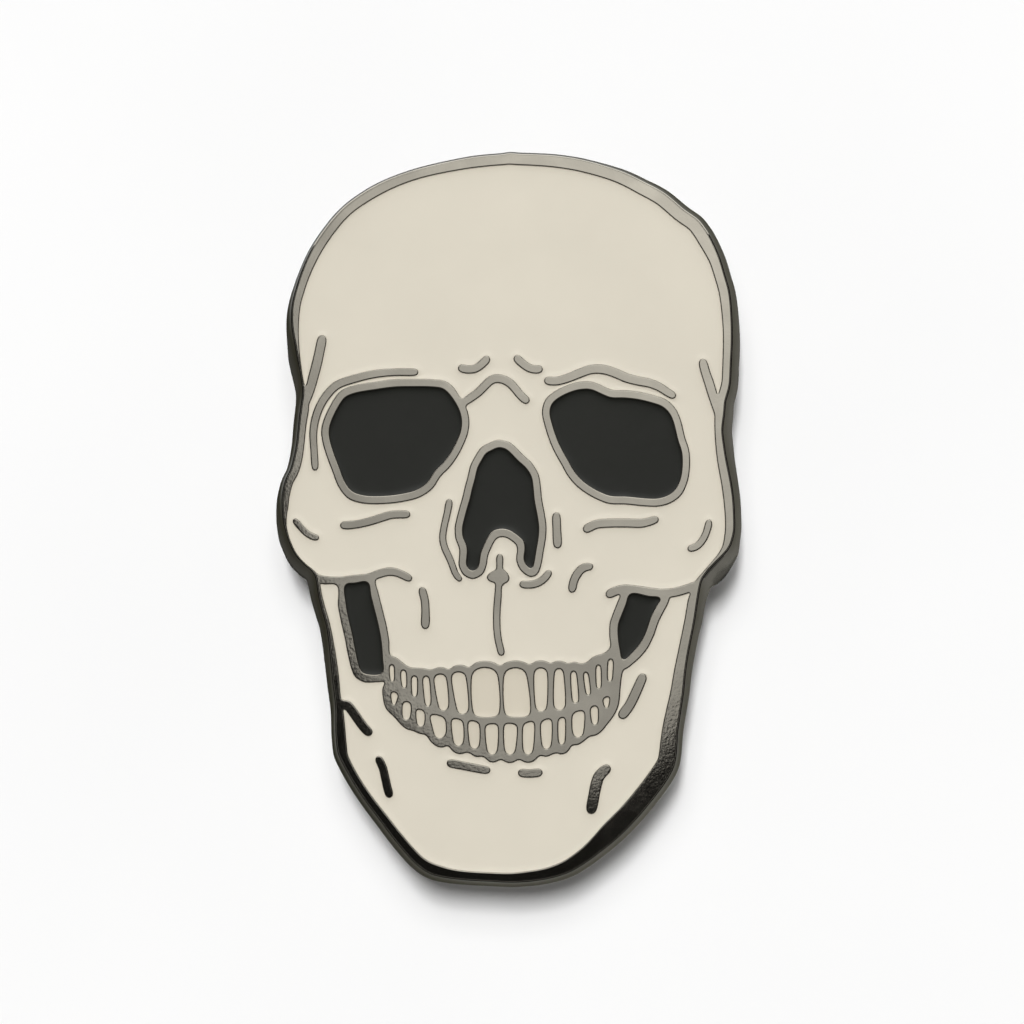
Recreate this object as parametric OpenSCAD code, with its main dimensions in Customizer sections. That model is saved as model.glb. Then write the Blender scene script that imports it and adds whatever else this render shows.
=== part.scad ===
// Skull-shaped soft-enamel pin: a die-struck, black-nickel plated plate whose raised metal lines part
// shallow cells of cream and black enamel, with two nail posts and two butterfly clutches on its back.
// The pin lies face up. +Z points out of its front, +Y to the cranium, +X to the viewer's right.
// The origin is under the middle of the plate, on the table that the clutch wings stand on.

/* [Plate] */
// Thickness of the struck plate, up to the top of its raised lines
plate_t = 1.8; // [1.5:0.1:2.2]
// Depth of the enamel cells below the top of the raised lines
cell_depth = 0.5; // [0.35:0.05:0.6]
// Height of the upright trimmed band at the foot of the side wall
trim_h = 0.8; // [0.5:0.05:0.9]
// How far the side wall slopes out, as a share of the nominal slope
wall_slope = 1.0; // [0.6:0.05:1.2]
// Small broken edge around the top face
edge_break = 0.05; // [0.03:0.01:0.08]

/* [Enamel] */
// How far the enamel lies below the top of the raised lines
enamel_low = 0.18; // [0.1:0.02:0.26]

/* [Raised lines] */
// Width of the nose, eye and jaw lines, as a share of nominal
line_scale = 1.0; // [0.9:0.05:1.1]
// Width of the metal ring around each eye
eye_ring_w = 0.41; // [0.36:0.01:0.46]
// Width of the metal ring around the nose opening
nose_ring_w = 0.42; // [0.36:0.01:0.46]
// Width of the metal walls beside the two black cheek gaps
gap_wall_w = 0.44; // [0.38:0.01:0.5]

/* [Posts] */
// Height of the upper post's axis above the middle of the plate
post_top_y = 9.0; // [8:0.5:10]
// Depth of the lower post's axis below the middle of the plate
post_low_y = 9.0; // [8:0.5:10]
// Radius of each post's shaft
post_r = 0.525; // [0.5:0.005:0.54]
// Length of each post from the plate's back to its point
post_len = 6.8; // [6.5:0.1:6.9]
// Radius of the pad that is soldered to the plate's back
pad_r = 1.7; // [1.4:0.1:2]
// Thickness of that pad
pad_t = 0.35; // [0.25:0.05:0.4]

/* [Clutches] */
// Radius of each clutch's disc
disc_r = 5.7; // [5.6:0.1:5.9]
// Gap between the plate's back and a seated clutch
seat_gap = 0.5; // [0.45:0.05:0.55]
// Sheet thickness of the clutch's disc
disc_t = 0.35; // [0.3:0.05:0.35]
// Radius of the hole in the disc that the post runs through
disc_bore_r = 0.6; // [0.59:0.005:0.61]
// Sheet thickness of the spring base and wings
leaf_t = 0.3; // [0.26:0.02:0.3]
// Distance of each wing's pivot from the post
pivot_x = 4.0; // [3.9:0.05:4]
// Radius of each wing's pivot pin
pivot_r = 0.2; // [0.18:0.01:0.21]

/* [Hidden] */
back_z = 7.0;                        // the plate's back stands this high, on the clutch wings
floor_z = plate_t - cell_depth;      // floor of the enamel cells above the plate's back
fill_h = cell_depth - enamel_low;    // thickness of the enamel
pivot_z = 1.65;                      // height of the wing pivots over the plate's back
jaw_x = post_r + 0.05;               // where each wing's jaw meets the post
steps = 2;                           // facets between two neighbouring outline points
metal = [0.30, 0.29, 0.27];
steel = [0.62, 0.62, 0.60];
cream = [0.86, 0.84, 0.78];
tooth_cream = [0.81, 0.78, 0.71];
black = [0.17, 0.17, 0.155];

// ---- curve helpers ----
function spline_at(a, b, c, d, t) =
  0.5 * ((2 * b) + (c - a) * t + (2 * a - 5 * b + 4 * c - d) * t * t + (3 * b - a - 3 * c + d) * t * t * t);
function loop_curve(p, n = steps) = let (m = len(p))
  [for (i = [0:m - 1]) for (k = [0:n - 1])
    spline_at(p[(i + m - 1) % m], p[i], p[(i + 1) % m], p[(i + 2) % m], k / n)];
function open_curve(p, n = steps) = let (m = len(p))
  concat([for (i = [0:m - 2]) for (k = [0:n - 1])
    spline_at(p[max(i - 1, 0)], p[i], p[i + 1], p[min(i + 2, m - 1)], k / n)], [p[m - 1]]);
function flat(v) = [v[0], v[1]];
function unit(v) = v / norm(v);
function left_of(v) = [-v[1], v[0]];
function outward(p, i) = let (m = len(p), d = unit(flat(p[(i + 1) % m]) - flat(p[(i + m - 1) % m])))
  [d[1], -d[0]];
// a loop of points moved along its outward normals, each by its own amount
function moved(p, by) = [for (i = [0:len(p) - 1]) flat(p[i]) + outward(p, i) * by[i]];
function path_dir(p, i) = unit(flat(p[min(i + 1, len(p) - 1)]) - flat(p[max(i - 1, 0)]));
// outline of a round-ended line along p; each point is [x, y, width]
function line_outline(p) = let (m = len(p), d0 = path_dir(p, 0), d1 = path_dir(p, m - 1))
  concat(
    [for (i = [0:m - 1]) flat(p[i]) - left_of(path_dir(p, i)) * p[i][2] / 2],
    [for (a = [-45:45:45]) flat(p[m - 1]) + (d1 * cos(a) + left_of(d1) * sin(a)) * p[m - 1][2] / 2],
    [for (i = [m - 1:-1:0]) flat(p[i]) + left_of(path_dir(p, i)) * p[i][2] / 2],
    [for (a = [-45:45:45]) flat(p[0]) - (d0 * cos(a) + left_of(d0) * sin(a)) * p[0][2] / 2]);

// ---- the skull's outline ----
// top edge of the side wall: [x, y, width of the raised rim, outward slope of the wall below]
skull_edge = [
  [-0.4, 18.9, 0.55, 0.2], [-2, 18.75, 0.55, 0.2], [-4, 18.35, 0.5, 0.2], [-5.5, 17.93, 0.5, 0.2],
  [-7, 17.3, 0.54, 0.2], [-8.5, 16.3, 0.52, 0.2], [-9.5, 15.2, 0.52, 0.2], [-10.3, 14, 0.53, 0.2],
  [-10.8, 12.9, 0.5, 0.2], [-11.1, 12, 0.48, 0.22], [-11.3, 11.2, 0.46, 0.25], [-11.35, 10.5, 0.43, 0.3],
  [-11.3, 9.8, 0.35, 0.35], [-11.15, 9, 0.23, 0.45], [-11.05, 8.4, 0.18, 0.5], [-10.9, 7.7, 0.12, 0.5],
  [-10.8, 7.1, 0.12, 0.45], [-10.75, 6.5, 0.25, 0.4], [-10.85, 5.8, 0.45, 0.33], [-10.95, 5, 0.42, 0.32],
  [-11.05, 4, 0.42, 0.3], [-11.2, 3.2, 0.47, 0.27], [-11.4, 2.5, 0.47, 0.25], [-11.65, 2, 0.45, 0.25],
  [-11.8, 1.2, 0.4, 0.3], [-11.8, 0.7, 0.35, 0.35], [-11.75, 0, 0.2, 0.4], [-11.65, -0.5, 0.12, 0.45],
  [-11.5, -1, 0.1, 0.5], [-11.3, -1.5, 0.1, 0.5], [-11, -2, 0.1, 0.55], [-10.5, -2.5, 0.1, 0.55],
  [-10.15, -2.8, 0.12, 0.53], [-10, -3.3, 0.18, 0.5], [-9.9, -4, 0.2, 0.45], [-9.7, -4.8, 0.22, 0.42],
  [-9.5, -5.5, 0.22, 0.4], [-9.35, -6.5, 0.27, 0.38], [-9.25, -7.5, 0.34, 0.36], [-9.15, -8.5, 0.36, 0.34],
  [-9.05, -9.3, 0.33, 0.33], [-9, -10, 0.42, 0.3], [-9, -11, 0.52, 0.27], [-8.9, -12, 0.52, 0.28],
  [-8.7, -12.5, 0.44, 0.3], [-8.15, -13.5, 0.42, 0.3], [-7.5, -14.5, 0.43, 0.3], [-6.75, -15.5, 0.45, 0.3],
  [-6, -16.5, 0.48, 0.3], [-5.15, -17.5, 0.5, 0.3], [-4.6, -18, 0.52, 0.28], [-4, -18.35, 0.58, 0.26],
  [-3, -18.55, 0.5, 0.24], [-2, -18.65, 0.48, 0.22], [-1, -18.7, 0.48, 0.22], [0, -18.75, 0.5, 0.22],
  [1, -18.7, 0.55, 0.22], [2, -18.55, 0.58, 0.22], [3, -18.25, 0.66, 0.22], [3.8, -17.8, 0.72, 0.22],
  [4.5, -17.3, 0.8, 0.22], [5.5, -16.5, 1, 0.22], [6.5, -15.5, 1, 0.22], [7.5, -14.3, 1, 0.22],
  [8.2, -13.3, 0.98, 0.22], [8.5, -12.6, 0.92, 0.22], [8.6, -11.8, 0.9, 0.23], [8.65, -11, 0.84, 0.24],
  [8.8, -10, 0.78, 0.25], [8.95, -9, 0.7, 0.27], [9.05, -8, 0.63, 0.28], [9.2, -7, 0.57, 0.3],
  [9.4, -6, 0.56, 0.3], [9.55, -5.2, 0.55, 0.35], [9.7, -4.2, 0.52, 0.38], [9.85, -3.4, 0.35, 0.52],
  [10, -3.05, 0.22, 0.68], [10.45, -2.5, 0.2, 0.8], [10.9, -2.05, 0.26, 0.68], [11.3, -1.6, 0.4, 0.52],
  [11.5, -1.1, 0.48, 0.35], [11.6, -0.6, 0.52, 0.32], [11.6, 0, 0.52, 0.32], [11.55, 1, 0.55, 0.33],
  [11.4, 2, 0.54, 0.35], [11.2, 3, 0.52, 0.4], [11.05, 4, 0.47, 0.45], [11, 4.6, 0.45, 0.45],
  [11.1, 5.4, 0.55, 0.42], [11.15, 6, 0.5, 0.4], [11.3, 6.5, 0.5, 0.38], [11.4, 7, 0.48, 0.38],
  [11.45, 8, 0.48, 0.38], [11.5, 9, 0.5, 0.38], [11.5, 10, 0.52, 0.35], [11.45, 11, 0.56, 0.32],
  [11.35, 11.8, 0.58, 0.3], [11.15, 12.5, 0.57, 0.3], [10.85, 13.5, 0.6, 0.3], [10.4, 14.5, 0.7, 0.3],
  [10.1, 15, 0.7, 0.3], [9.7, 15.5, 0.7, 0.3], [9, 16, 0.7, 0.3], [8, 16.85, 0.7, 0.28],
  [7, 17.4, 0.68, 0.26], [6, 17.9, 0.65, 0.24], [5, 18.25, 0.62, 0.22], [3.5, 18.65, 0.62, 0.2],
  [2, 18.85, 0.6, 0.2], [0.4, 18.92, 0.57, 0.2], [0, 18.97, 0.6, 0.2]
];
rim = loop_curve(skull_edge);
slope = [for (p = rim) p[3] * wall_slope];
foot = moved(rim, slope);
inner = moved(rim, [for (p = rim) -p[2]]);
// the foot of the wall is centred on the origin
shift = -[min([for (p = foot) p[0]]) + max([for (p = foot) p[0]]),
          min([for (p = foot) p[1]]) + max([for (p = foot) p[1]])] / 2;

// ---- enamel cells that a single closed curve bounds ----
eye_left_cell = [
  [-4, 6.8], [-5, 6.82], [-6, 6.8], [-7, 6.67], [-8, 6.5], [-8.5, 6.3], [-8.75, 6], [-9, 5.5], [-9.25, 5],
  [-9.35, 4.5], [-9.28, 4], [-9.1, 3.4], [-8.8, 2.6], [-8.5, 1.85], [-8.12, 1.4], [-7.5, 1.2], [-6.5, 1.18],
  [-5.5, 1.3], [-4.8, 1.5], [-4.3, 1.85], [-3.9, 2.45], [-3.45, 2.9], [-3.05, 3.45], [-2.77, 4],
  [-2.58, 4.5], [-2.52, 5], [-2.61, 5.5], [-2.85, 6], [-3.2, 6.48], [-3.5, 6.72]
];
eye_right_cell = [
  [2.07, 5.5], [2.2, 4.85], [2.48, 4], [2.74, 3.45], [3, 3], [3.3, 2.45], [3.7, 1.98], [4.2, 1.6],
  [4.7, 1.33], [5.2, 1.15], [6, 1.12], [7, 1.02], [7.6, 1.01], [8.1, 1.15], [8.5, 1.45], [8.76, 2],
  [8.86, 2.6], [8.84, 3.4], [8.65, 4], [8.4, 5], [8.2, 5.42], [7.85, 5.75], [7.4, 5.92], [6.6, 6.12],
  [5.9, 6.2], [5.2, 6.22], [4.7, 6.42], [4.15, 6.65], [3.6, 6.64], [3.1, 6.5], [2.6, 6.26], [2.2, 5.93]
];
nose_cell = [
  [-0.6, 3.65], [-0.95, 3.5], [-1.22, 3.36], [-1.45, 3], [-1.66, 2.6], [-1.8, 2], [-1.94, 1.5],
  [-2.05, 1], [-2.2, 0.5], [-2.33, 0], [-2.44, -0.5], [-2.41, -0.95], [-2.2, -1.5], [-2.21, -2],
  [-2.24, -2.35], [-2.13, -2.6], [-1.93, -2.71], [-1.72, -2.6], [-1.61, -2.3], [-1.54, -1.8],
  [-1.4, -1.45], [-1.18, -1], [-0.92, -0.65], [-0.4, -0.52], [0, -0.61], [0.4, -0.87], [0.73, -1.2],
  [0.79, -1.6], [0.73, -2.1], [0.85, -2.4], [1.1, -2.61], [1.21, -2.3], [1.31, -1.7], [1.43, -1],
  [1.46, -0.45], [1.38, 0.15], [1.23, 0.95], [1.17, 1.6], [1.08, 2.15], [0.8, 2.6], [0.38, 2.98],
  [0.02, 3.36], [-0.25, 3.58]
];
gap_left_cell = [
  [-8.49, -3.42], [-8, -3.35], [-7.36, -3.29], [-7.2, -4], [-7, -4.8], [-6.8, -5.6], [-6.66, -6.4],
  [-6.6, -7.2], [-6.6, -7.97], [-7.4, -8.02], [-7.66, -7.88], [-7.8, -7.5], [-7.96, -6.8], [-8.11, -6],
  [-8.3, -5.2], [-8.45, -4.4]
];
gap_right_cell = [
  [6.2, -3.93], [6.7, -4], [7.2, -4.07], [7.74, -4.14], [7.5, -4.6], [7.22, -5.15], [7, -5.8],
  [6.72, -6.4], [6.38, -6.83], [5.82, -7.32], [5.7, -6.85], [5.6, -6.2], [5.6, -5.5], [5.8, -4.95],
  [6, -4.45]
];

// ---- teeth ----
// [top x, top y, top width, crown height, top slope, foot x, foot y, foot width, heel height]
upper_teeth = [
  [-6.1, -7.52, 0.22, 0.1, 0, -6.07, -8.45, 0.18, 0.1], [-5.5, -7.8, 0.25, 0.1, 0, -5.45, -8.78, 0.2, 0.1],
  [-4.93, -8.11, 0.27, 0.1, 0, -4.92, -9.22, 0.22, 0.1],
  [-4.33, -8.12, 0.3, 0.12, 0, -4.23, -9.72, 0.27, 0.2],
  [-3.6, -8.03, 0.6, 0.2, 0, -3.43, -9.93, 0.5, 0.3], [-2.65, -7.92, 0.7, 0.22, 0, -2.44, -10.1, 0.58, 0.3],
  [-1.3, -7.7, 1.32, 0.45, 0, -1.22, -10.25, 1.24, 0.14],
  [0.27, -7.72, 1.14, 0.4, 0, 0.39, -10.25, 1.22, 0.14],
  [1.58, -7.72, 0.64, 0.25, 0, 1.6, -9.97, 0.54, 0.25], [2.52, -7.75, 0.42, 0.18, 0, 2.55, -9.9, 0.54, 0.2],
  [3.27, -7.87, 0.25, 0.1, 0, 3.37, -9.55, 0.28, 0.12], [3.9, -7.92, 0.21, 0.08, 0, 4.03, -9.15, 0.2, 0.1],
  [4.55, -7.55, 0.21, 0.1, 0, 4.57, -8.82, 0.2, 0.1], [5.18, -7.25, 0.23, 0.1, 0, 5.14, -8.45, 0.2, 0.1]
];
lower_teeth = [
  [-5.95, -8.95, 0.36, 0.1, -0.3, -5.98, -9.65, 0.22, 0.2],
  [-5.32, -9.45, 0.4, 0.1, -0.1, -5.34, -10.4, 0.37, 0.15],
  [-4.62, -9.85, 0.42, 0.1, -0.3, -4.6, -10.75, 0.37, 0.2],
  [-3.73, -10.15, 0.74, 0.1, -0.25, -3.62, -11.35, 0.64, 0.4],
  [-2.72, -10.34, 0.56, 0.1, -0.2, -2.66, -11.75, 0.52, 0.35],
  [-1.87, -10.45, 0.54, 0.1, -0.2, -1.83, -11.9, 0.5, 0.35],
  [-0.95, -10.6, 0.6, 0.08, 0.08, -0.92, -12.2, 0.54, 0.4],
  [0.03, -10.58, 0.62, 0.08, -0.08, 0, -12.2, 0.56, 0.4],
  [0.96, -10.5, 0.54, 0.1, 0.3, 0.93, -12.2, 0.5, 0.35],
  [1.86, -10.37, 0.52, 0.1, 0.3, 1.88, -11.92, 0.47, 0.35],
  [2.66, -10.27, 0.32, 0.08, 0.25, 2.66, -11.7, 0.31, 0.25],
  [3.52, -9.95, 0.58, 0.1, 0.25, 3.5, -11.32, 0.56, 0.4],
  [4.33, -9.68, 0.36, 0.1, 0.15, 4.36, -10.68, 0.3, 0.2],
  [4.95, -9.22, 0.34, 0.08, 0.4, 4.96, -9.82, 0.22, 0.2]
];
// outline of the metal around both rows of teeth: scalloped top edge, then the lower edge back
gum_band = [
  [-6.35, -6.7], [-6.2, -7.05], [-5.9, -7.15], [-5.6, -7.38], [-5.2, -7.66], [-4.5, -7.72], [-4.05, -7.8],
  [-3.75, -7.68], [-3.4, -7.68], [-3.15, -7.8], [-2.9, -7.62], [-2.6, -7.55], [-2.3, -7.6], [-2.12, -7.7],
  [-1.8, -7.45], [-1.3, -7.35], [-0.85, -7.42], [-0.5, -7.6], [-0.2, -7.42], [0.3, -7.33], [0.75, -7.42],
  [1, -7.55], [1.3, -7.38], [1.6, -7.33], [1.88, -7.38], [2.1, -7.5], [2.3, -7.38], [2.55, -7.35],
  [2.8, -7.4], [2.95, -7.5], [3.3, -7.4], [3.65, -7.5], [4, -7.4], [4.2, -7.2], [4.5, -7.06], [4.75, -7],
  [5, -6.85], [5.2, -6.55], [6.1, -7.3], [5.8, -7.95], [5.7, -8.6], [5.66, -9.1], [5.6, -9.6], [5.45, -10],
  [5.3, -10.25], [4.95, -10.7], [4.7, -11], [4.4, -11.2], [4.1, -11.25], [3.85, -11.45], [3.5, -11.68],
  [3.2, -11.7], [3, -12], [2.7, -12.17], [2.35, -12.1], [1.85, -12.3], [1.55, -12.22], [1.25, -12.5],
  [0.95, -12.6], [0.7, -12.55], [0.45, -12.42], [0.2, -12.57], [-0.1, -12.6], [-0.3, -12.52], [-0.5, -12.42],
  [-0.75, -12.57], [-1.05, -12.55], [-1.4, -12.27], [-1.75, -12.3], [-2.2, -12.05], [-2.5, -12.15],
  [-2.9, -12.05], [-3.2, -11.72], [-3.55, -11.82], [-4, -11.6], [-4.35, -11.16], [-4.65, -11.1],
  [-5.05, -10.93], [-5.3, -10.87], [-5.6, -10.65], [-6, -10.2], [-6.4, -9.8], [-6.57, -9.1], [-6.58, -8.75],
  [-6.45, -8.45], [-6.7, -8.1]
];
function tooth_points(t) = concat(
  [for (a = [0:36:180]) let (x = t[2] / 2 * cos(a)) [t[0] + x, t[1] - t[3] + t[3] * sin(a) + t[4] * x]],
  [for (a = [180:45:360]) [t[5] + t[7] / 2 * cos(a), t[6] + t[8] + t[8] * sin(a)]]);

// ---- raised lines: each is [points, start width, middle width, end width] ----
raised_lines = [
  // temples
  [[[-9.74, 9.3], [-9.84, 8.8], [-9.99, 8.1], [-10.17, 7.4], [-10.4, 6.6], [-10.62, 6], [-10.75, 5.4]],
  0.48, 0.52, 0.4],
  [[[9.96, 8.03], [10.1, 7.5], [10.27, 7], [10.42, 6.5], [10.6, 5.9], [10.8, 5.2]], 0.44, 0.5, 0.4],
  // brows
  [[[-4.9, 7.59], [-6, 7.59], [-7, 7.5], [-8, 7.27], [-8.95, 6.93], [-9.45, 6.45], [-9.83, 5.85],
  [-10.09, 5.1],
    [-10.18, 4.4], [-10.14, 3.6], [-10.08, 2.65]], 0.36, 0.43, 0.34],
  [[[1.95, 7.12], [2.4, 7.1], [3, 7.26], [3.6, 7.5], [4.2, 7.7], [4.8, 7.7], [5.4, 7.52], [6, 7.26],
  [6.6, 7.1],
    [7.2, 6.98], [7.7, 6.78], [8.1, 6.52], [8.4, 6.34]], 0.42, 0.48, 0.38],
  // bridge of the nose and the two frown lines above it
  [[[-2.6, 5.85], [-2.1, 6.2], [-1.65, 6.52], [-1.3, 6.87], [-1, 7.15], [-0.7, 7.25], [-0.3, 7.17],
  [0.05, 6.95],
    [0.35, 6.6], [0.6, 6.3], [0.82, 6.12]], 0.42, 0.44, 0.42],
  [[[-2.5, 7.78], [-2.2, 7.72], [-1.8, 7.76], [-1.5, 7.95], [-1.22, 8.23]], 0.42, 0.42, 0.42],
  [[[0.37, 8.27], [0.6, 8.05], [0.95, 7.8], [1.25, 7.71], [1.5, 7.72]], 0.42, 0.42, 0.42],
  // lines under the eyes and on the cheekbones
  [[[-8.6, -0.34], [-8, -0.3], [-7.3, -0.15], [-6.7, 0.03], [-6.1, 0.2], [-5.32, 0.22]], 0.4, 0.42, 0.38],
  [[[3.96, -0.55], [4.4, -0.33], [5, -0.26], [6, -0.25], [6.8, -0.27], [7.2, -0.18], [7.5, -0.08]],
  0.44, 0.46, 0.38],
  [[[-11.1, -0.1], [-10.85, -0.4], [-10.5, -0.75], [-10.2, -0.92], [-10, -0.97]], 0.3, 0.33, 0.32],
  [[[10.25, -0.25], [10.15, -0.65], [9.95, -1.1], [9.65, -1.45], [9.3, -1.58]], 0.36, 0.37, 0.36],
  // beside and under the nose
  [[[-3.14, 0.85], [-3.24, 0.3], [-3.4, -0.4], [-3.48, -1], [-3.38, -1.5], [-3.15, -2], [-2.95, -2.5],
  [-2.8, -2.9],
    [-2.6, -3.13]], 0.36, 0.36, 0.3],
  [[[2.39, 0.12], [2.41, -0.5], [2.45, -1.35]], 0.42, 0.44, 0.44],
  [[[0.65, -3.41], [1, -3.43], [1.4, -3.35], [1.75, -3.13], [2, -2.83]], 0.38, 0.4, 0.36],
  [[[4.12, -2.5], [3.8, -2.55], [3.52, -2.8], [3.3, -3.2], [3.2, -3.65]], 0.38, 0.44, 0.42],
  [[[-4.53, -3.72], [-4.4, -4.2], [-4.36, -4.8], [-4.37, -5.5]], 0.4, 0.42, 0.44],
  // line down the middle of the upper jaw
  [[[-0.53, -2], [-0.54, -2.7], [-0.57, -3.4], [-0.62, -4], [-0.68, -4.8], [-0.68, -5.6], [-0.62, -6.2],
  [-0.53, -6.6],
    [-0.45, -6.93]], 0.36, 0.38, 0.36],
  // cheekbones
  [[[-10.3, -2.95], [-9.6, -3.17], [-8.9, -3.22], [-8.2, -3.2], [-7.6, -3.12], [-7.2, -3.03], [-6.8, -2.87],
    [-6.3, -2.74], [-5.9, -2.77], [-5.5, -2.93], [-5.22, -3.08]], 0.42, 0.44, 0.38],
  [[[5.12, -3.92], [5.5, -3.74], [6, -3.66], [6.6, -3.75], [7.2, -3.85], [7.8, -3.9], [8.4, -3.85],
  [9, -3.7],
    [9.5, -3.52]], 0.44, 0.48, 0.44],
  // lower jaw
  [[[-8.8, -9.55], [-8.4, -9.62], [-8.1, -9.97], [-7.8, -10.4], [-7.5, -10.8], [-7.3, -11]],
  0.46, 0.48, 0.46],
  [[[6.82, -8.22], [6.65, -8.6], [6.4, -9.15], [6.15, -9.65], [5.8, -10.12]], 0.46, 0.52, 0.5],
  [[[-6.75, -12.42], [-6.55, -12.85], [-6.42, -13.4], [-6.32, -13.85], [-6.22, -14.2]], 0.4, 0.43, 0.42],
  [[[4.95, -12.92], [4.6, -13.25], [4.43, -13.7], [4.33, -14.2], [4.18, -14.97]], 0.5, 0.58, 0.54],
  [[[-3.08, -12.62], [-2.4, -12.75], [-1.8, -12.87], [-1.18, -12.98]], 0.4, 0.42, 0.38],
  [[[0.6, -13.12], [1, -13.15], [1.48, -13.1]], 0.42, 0.42, 0.42]
];
// the lozenge on the middle line
lozenge = [[-1.22, -3.02], [-0.8, -2.68], [-0.3, -2.66], [-0.02, -3.05], [-0.1, -3.28], [-0.4, -3.44],
           [-0.76, -3.34], [-1.08, -3.24]];
// everything above the line through cheekbones, cheek gaps and tooth row
upper_face = [
  [-14, 20], [-14, -3.1], [-10.2, -3.1], [-9.6, -3.18], [-8.9, -3.22], [-8, -3.8], [-7.2, -7.5],
  [-6.3, -8.3],
  [-5, -9.4], [-3, -10.15], [0, -10.42], [3, -9.9], [4.7, -9], [5.5, -8], [5.9, -6.9], [6.9, -4.6],
  [7.9, -3.9], [9, -3.7], [9.7, -3.5], [14, -3.45], [14, 20]
];

module line_2d(l) {
  m = len(l[0]) - 1;
  pts = [for (i = [0:m]) let (s = 1 - pow(2 * i / m - 1, 2), e = (i < m / 2 ? l[1] : l[3]))
    [l[0][i][0], l[0][i][1], (e + (l[2] - e) * s) * line_scale]];
  polygon(line_outline(pts));
}
module tooth_2d(t) { polygon(tooth_points(t)); }
module ring_2d(cell, w) { offset(delta = w) polygon(cell); }
module corner_ring_2d(cell, w) { offset(r = w, $fn = 16) polygon(cell); }
// all that stands in the way of the two large cream fields
module islands_2d() {
  for (l = raised_lines) line_2d(l);
  polygon(lozenge);
  ring_2d(eye_left_cell, eye_ring_w);
  ring_2d(eye_right_cell, eye_ring_w);
  corner_ring_2d(nose_cell, nose_ring_w);
  corner_ring_2d(gap_left_cell, gap_wall_w);
  corner_ring_2d(gap_right_cell, gap_wall_w + 0.04);
  polygon(gum_band);
}
// a field is opened a little, so no sliver of enamel is left where two lines nearly meet
module fields_2d() {
  offset(delta = 0.05) offset(delta = -0.05) difference() { polygon(inner); islands_2d(); }
}
module cranium_face_2d() { offset(delta = 0) intersection() { fields_2d(); polygon(upper_face); } }
module jaw_2d() { offset(delta = 0) difference() { fields_2d(); polygon(upper_face); } }
module eye_left_2d() { polygon(eye_left_cell); }
module eye_right_2d() { polygon(eye_right_cell); }
module nose_2d() { polygon(nose_cell); }
module gap_left_2d() { polygon(gap_left_cell); }
module gap_right_2d() { polygon(gap_right_cell); }

// everything on the plate is placed from the middle of its back
module on_plate(z = 0) { translate([shift[0], shift[1], back_z + z]) children(); }
module pocket() { on_plate(floor_z) linear_extrude(cell_depth + 1) children(); }
module enamel() { on_plate(floor_z) linear_extrude(fill_h) children(); }

// plate body: foot, upright trimmed band, sloping wall and a broken top edge
module plate_body() {
  m = len(rim);
  levels = [[0, 0.93], [0.06, 1], [trim_h, 1], [trim_h + 0.08, 0.8], [plate_t - 0.22, 0.16]];
  loops = concat(
    [for (l = levels) [l[0], moved(rim, slope * l[1])]],
    [[plate_t - edge_break, moved(rim, slope * 0)],
     [plate_t, moved(rim, [for (p = rim) -edge_break])]]);
  n = len(loops);
  polyhedron(
    points = [for (l = loops) for (p = l[1]) [p[0], p[1], l[0]]],
    faces = concat(
      [[for (i = [m - 1:-1:0]) m - 1 - i]],
      [for (k = [0:n - 2]) for (i = [0:m - 1]) let (j = (i + 1) % m)
        [k * m + i, (k + 1) * m + i, (k + 1) * m + j]],
      [for (k = [0:n - 2]) for (i = [0:m - 1]) let (j = (i + 1) % m)
        [k * m + i, (k + 1) * m + j, k * m + j]],
      [[for (i = [0:m - 1]) (n - 1) * m + m - 1 - i]]));
}
module die_struck_plate() {
  color(metal) difference() {
    on_plate() plate_body();
    pocket() cranium_face_2d();
    pocket() jaw_2d();
    pocket() eye_left_2d();
    pocket() eye_right_2d();
    pocket() nose_2d();
    pocket() gap_left_2d();
    pocket() gap_right_2d();
    for (t = concat(upper_teeth, lower_teeth)) pocket() tooth_2d(t);
  }
}
module enamel_cranium_face() { color(cream) enamel() cranium_face_2d(); }
module enamel_jaw() { color(cream) enamel() jaw_2d(); }
module enamel_eye_left() { color(black) enamel() eye_left_2d(); }
module enamel_eye_right() { color(black) enamel() eye_right_2d(); }
module enamel_nose() { color(black) enamel() nose_2d(); }
module enamel_gap_left() { color(black) enamel() gap_left_2d(); }
module enamel_gap_right() { color(black) enamel() gap_right_2d(); }
module upper_tooth(i) { color(tooth_cream) enamel() tooth_2d(upper_teeth[i - 1]); }
module lower_tooth(i) { color(tooth_cream) enamel() tooth_2d(lower_teeth[i - 1]); }

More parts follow.
